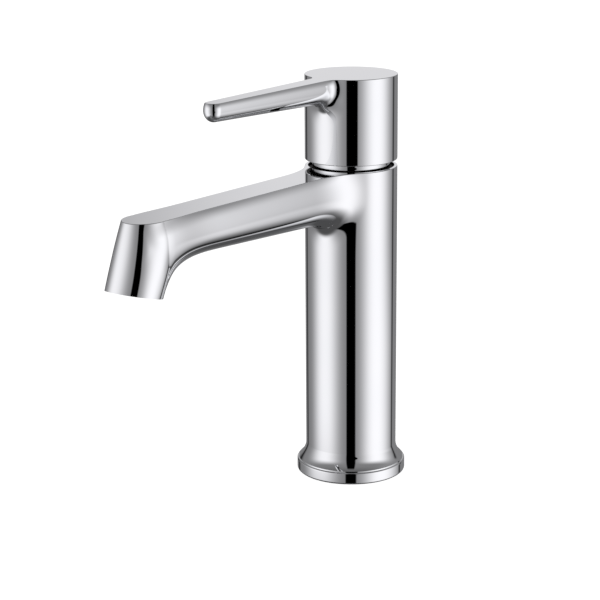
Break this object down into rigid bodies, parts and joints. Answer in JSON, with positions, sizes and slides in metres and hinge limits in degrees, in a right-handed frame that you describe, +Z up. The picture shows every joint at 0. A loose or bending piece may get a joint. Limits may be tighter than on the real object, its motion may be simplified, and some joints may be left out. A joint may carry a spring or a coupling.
{
  "type": "basin mixer faucet",
  "caption": "Single-lever deck-mounted basin mixer: round column on a flared base, straight flat-topped spout and a slim lever on a round handle.",
  "frame": {"origin": "centre of the base on the deck plane, on the column's axis", "axes": "+Z up along the column, -Y towards the user along the spout and the closed lever, +X to the user's right"},
  "size_m": [0.054, 0.1955, 0.2],
  "materials": {
    "chrome_plate": "polished mirror plate",
    "chrome_trim": "polished mirror plate",
    "raw_brass": "turned, unplated",
    "steel": "satin stainless",
    "disc_ceramic": "lapped",
    "grey_plastic": "moulded",
    "white_plastic": "moulded",
    "red_plastic": "moulded",
    "seal_rubber": "matt"
  },
  "bodies": {
    "fixed": {"body": "chrome_plate", "base_gasket": "seal_rubber", "port_seals": "seal_rubber", "cartridge_base": "grey_plastic", "disc_seals": "seal_rubber", "fixed_disc": "disc_ceramic", "cartridge_housing": "white_plastic", "housing_o_ring": "seal_rubber", "cartridge_nut": "raw_brass", "trim_ring": "chrome_trim", "trim_o_ring": "seal_rubber", "limit_ring": "red_plastic", "slide_ring": "white_plastic", "aerator_shell": "grey_plastic", "aerator_screen": "steel", "flow_insert": "white_plastic", "flow_regulator": "seal_rubber", "aerator_washer": "seal_rubber"},
    "swivel": {"rotor": "grey_plastic", "pivot_pin": "steel"},
    "disc": {"moving_disc": "disc_ceramic", "disc_carrier": "grey_plastic"},
    "lever": {"stem": "steel", "handle": "chrome_plate", "set_screw": "steel", "index_plug": "grey_plastic"}
  },
  "joints": [
    {"name": "temperature", "type": "hinge", "parent": "fixed", "child": "swivel", "pos_m": [0, 0, 0.162], "axis": [0, 0, 1], "range_deg": [-45, 45]},
    {"name": "flow", "type": "hinge", "parent": "swivel", "child": "lever", "pos_m": [0, 0, 0.162], "axis": [-1, 0, 0], "range_deg": [0, 16]},
    {"name": "disc_slide", "type": "slide", "parent": "swivel", "child": "disc", "axis": [0, -1, 0], "range_m": [0, 0.00392]}
  ],
  "couplings": [
    {"joint": "disc_slide", "follows": "flow", "m_per_rad": 0.014}
  ]
}
